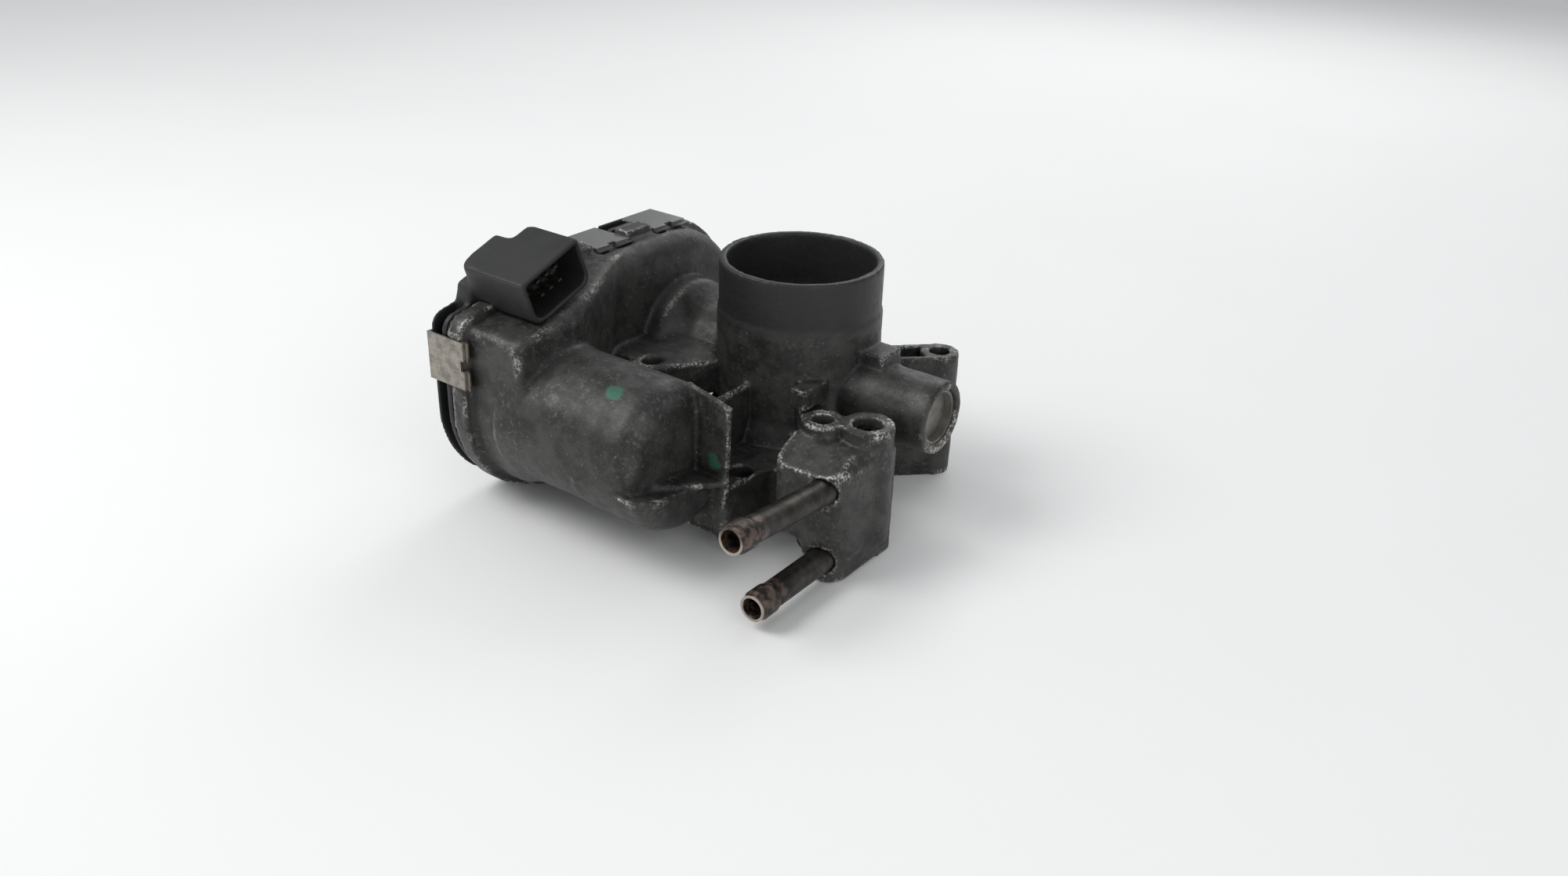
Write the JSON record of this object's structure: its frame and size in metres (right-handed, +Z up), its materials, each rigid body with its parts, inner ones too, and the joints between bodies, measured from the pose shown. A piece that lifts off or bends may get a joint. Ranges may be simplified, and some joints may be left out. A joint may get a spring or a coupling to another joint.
{
  "type": "electronic throttle body",
  "caption": "Electronic throttle body with a motor-driven plate in a round bore, gear case, side connector, mounting flange and two coolant pipes.",
  "frame": {"origin": "centre of the bore at the flange face that bolts to the intake manifold", "axes": "+Z up the bore towards the air inlet, +X along the throttle shaft away from the gear case, -Y towards the motor and the coolant pipes"},
  "size_m": [0.139, 0.1432, 0.0942],
  "materials": {
    "cast_aluminium": "dark weathered die casting, rough, with worn bright edges",
    "cover_plastic": "black glass-filled plastic",
    "seal_rubber": "black rubber",
    "clip_steel": "spring steel strip, dull",
    "pin_brass": "tinned brass",
    "board_green": "circuit board",
    "plug_steel": "pressed steel plug, dull",
    "bearing_steel": "ground bearing steel",
    "spring_steel": "oiled spring wire",
    "pipe_steel": "plated steel tube, slightly rusty",
    "can_steel": "zinc plated steel",
    "magnet_dark": "sintered ferrite magnet",
    "card_brown": "phenolic moulding",
    "brush_carbon": "carbon brush",
    "bush_bronze": "sintered bronze",
    "plate_brass": "brass sheet",
    "gear_nylon": "natural nylon",
    "lamination_steel": "stacked steel laminations",
    "copper_wire": "enamelled copper wire",
    "pinion_brass": "brass"
  },
  "bodies": {
    "housing_body": {"housing": "cast_aluminium", "gear_cover": "cover_plastic", "cover_seal": "seal_rubber", "cover_clips": "clip_steel", "connector_pins": "pin_brass", "sensor_board": "board_green", "shaft_end_plug": "plug_steel", "end_bearing": "bearing_steel", "needle_bearing": "bearing_steel", "shaft_seals": "seal_rubber", "return_spring": "spring_steel", "stop_screw": "can_steel", "idler_pin": "bearing_steel", "flange_o_ring": "seal_rubber", "coolant_pipe_upper": "pipe_steel", "coolant_pipe_lower": "pipe_steel", "coolant_port_plug": "plug_steel", "motor_can": "can_steel", "motor_plate": "can_steel", "motor_screws": "can_steel", "motor_magnets": "magnet_dark", "motor_brush_card": "card_brown", "motor_brushes": "brush_carbon", "motor_terminals": "pin_brass", "motor_bushes": "bush_bronze"},
    "throttle": {"throttle_shaft": "bearing_steel", "throttle_plate": "plate_brass", "plate_screws": "can_steel", "sector_gear": "gear_nylon", "sensor_magnet": "magnet_dark"},
    "idler": {"idler_gear": "gear_nylon"},
    "rotor": {"motor_shaft": "bearing_steel", "armature_core": "lamination_steel", "armature_windings": "copper_wire", "commutator": "copper_wire", "motor_pinion": "pinion_brass"}
  },
  "joints": [
    {"name": "throttle_shaft_turn", "type": "hinge", "parent": "housing_body", "child": "throttle", "pos_m": [0, 0, 0.0405], "axis": [1, 0, 0], "range_deg": [-7, 80], "stiffness_Nm_per_rad": 0.15},
    {"name": "idler_turn", "type": "hinge", "parent": "housing_body", "child": "idler", "pos_m": [-0.066, -0.0407, 0.04335], "axis": [1, 0, 0], "range_deg": [-374, 33]},
    {"name": "motor_turn", "type": "hinge", "parent": "housing_body", "child": "rotor", "pos_m": [-0.04, -0.07207, 0.03702], "axis": [1, 0, 0], "range_deg": [-186, 2116]}
  ],
  "couplings": [
    {"joint": "idler_turn", "follows": "throttle_shaft_turn", "ratio": -4.6667},
    {"joint": "motor_turn", "follows": "throttle_shaft_turn", "ratio": 26.444}
  ]
}
